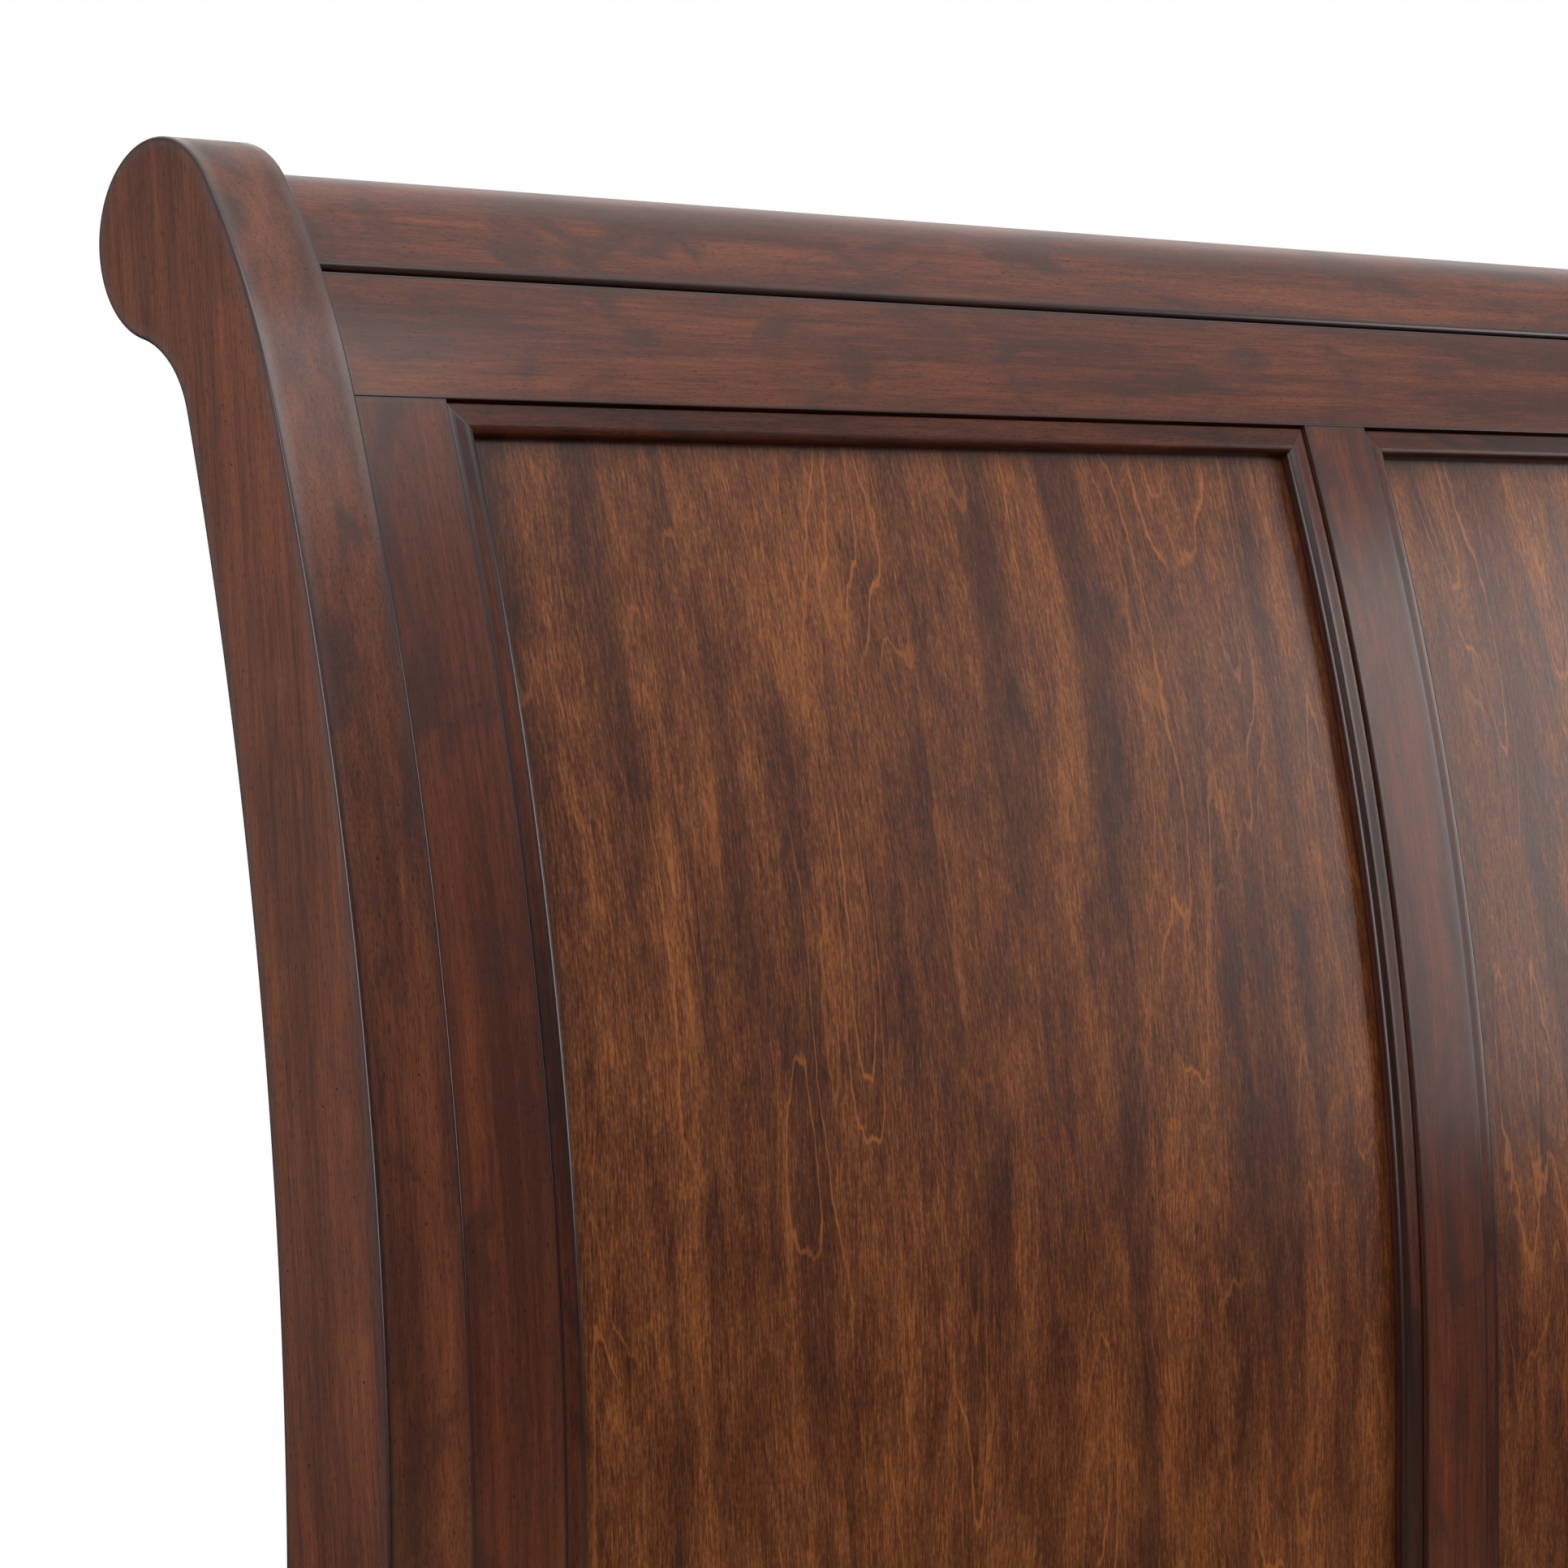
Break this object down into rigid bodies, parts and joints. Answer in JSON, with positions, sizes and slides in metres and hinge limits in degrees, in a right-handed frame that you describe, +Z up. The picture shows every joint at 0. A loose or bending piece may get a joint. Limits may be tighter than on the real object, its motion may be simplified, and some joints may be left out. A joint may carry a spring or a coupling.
{
  "type": "sleigh bed",
  "caption": "Queen-size sleigh bed in stained wood: panelled ends that curve outwards into scrolled posts and crest rolls, hooked side rails, a slatted deck and a centre beam.",
  "frame": {"origin": "on the floor, under the middle of the bed's box", "axes": "+X across the bed, +Y towards the headboard, +Z up"},
  "size_m": [1.705, 2.5054, 1.4199],
  "materials": {
    "frame_wood": "dark cherry stain, satin lacquer",
    "panel_veneer": "stained figured veneer, satin lacquer",
    "moulding_wood": "dark cherry stain, satin lacquer",
    "deck_wood": "unfinished planed hardwood",
    "plated_steel": "zinc plated",
    "foot_nylon": "moulded nylon"
  },
  "bodies": {
    "bed_frame": {"beam_bracket_foot": "plated_steel", "beam_bracket_head": "plated_steel", "bracket_screws": "plated_steel", "centre_beam": "deck_wood", "footboard_crest_roll": "frame_wood", "footboard_dowels": "deck_wood", "footboard_frieze_rail": "frame_wood", "footboard_lower_rail": "frame_wood", "footboard_moulding_left": "moulding_wood", "footboard_moulding_right": "moulding_wood", "footboard_mullion": "frame_wood", "footboard_panel_left": "panel_veneer", "footboard_panel_right": "panel_veneer", "footboard_post_left": "frame_wood", "footboard_post_right": "frame_wood", "footboard_stile_left": "frame_wood", "footboard_stile_right": "frame_wood", "headboard_crest_roll": "frame_wood", "headboard_dowels": "deck_wood", "headboard_frieze_rail": "frame_wood", "headboard_lower_rail": "frame_wood", "headboard_moulding_left": "moulding_wood", "headboard_moulding_right": "moulding_wood", "headboard_mullion": "frame_wood", "headboard_panel_left": "panel_veneer", "headboard_panel_right": "panel_veneer", "headboard_post_left": "frame_wood", "headboard_post_right": "frame_wood", "headboard_stile_left": "frame_wood", "headboard_stile_right": "frame_wood", "ledger_left": "deck_wood", "ledger_right": "deck_wood", "ledger_screws": "plated_steel", "leg_inserts": "plated_steel", "leg_studs": "plated_steel", "plate_screws": "plated_steel", "post_glides": "foot_nylon", "post_slot_plates": "plated_steel", "rail_hook_plates": "plated_steel", "side_rail_left": "frame_wood", "side_rail_right": "frame_wood", "slat_01": "deck_wood", "slat_02": "deck_wood", "slat_03": "deck_wood", "slat_04": "deck_wood", "slat_05": "deck_wood", "slat_06": "deck_wood", "slat_07": "deck_wood", "slat_08": "deck_wood", "slat_09": "deck_wood", "slat_10": "deck_wood", "slat_11": "deck_wood", "slat_screws": "plated_steel", "support_leg_1": "deck_wood", "support_leg_2": "deck_wood", "support_leg_3": "deck_wood"},
    "foot_1": {"levelling_foot_1": "foot_nylon"},
    "foot_2": {"levelling_foot_2": "foot_nylon"},
    "foot_3": {"levelling_foot_3": "foot_nylon"}
  },
  "joints": [
    {"name": "foot_1_screw", "type": "slide", "parent": "bed_frame", "child": "foot_1", "axis": [0, 0, 1], "range_m": [-0.012, 0.012]},
    {"name": "foot_2_screw", "type": "slide", "parent": "bed_frame", "child": "foot_2", "axis": [0, 0, 1], "range_m": [-0.012, 0.012]},
    {"name": "foot_3_screw", "type": "slide", "parent": "bed_frame", "child": "foot_3", "axis": [0, 0, 1], "range_m": [-0.012, 0.012]}
  ]
}
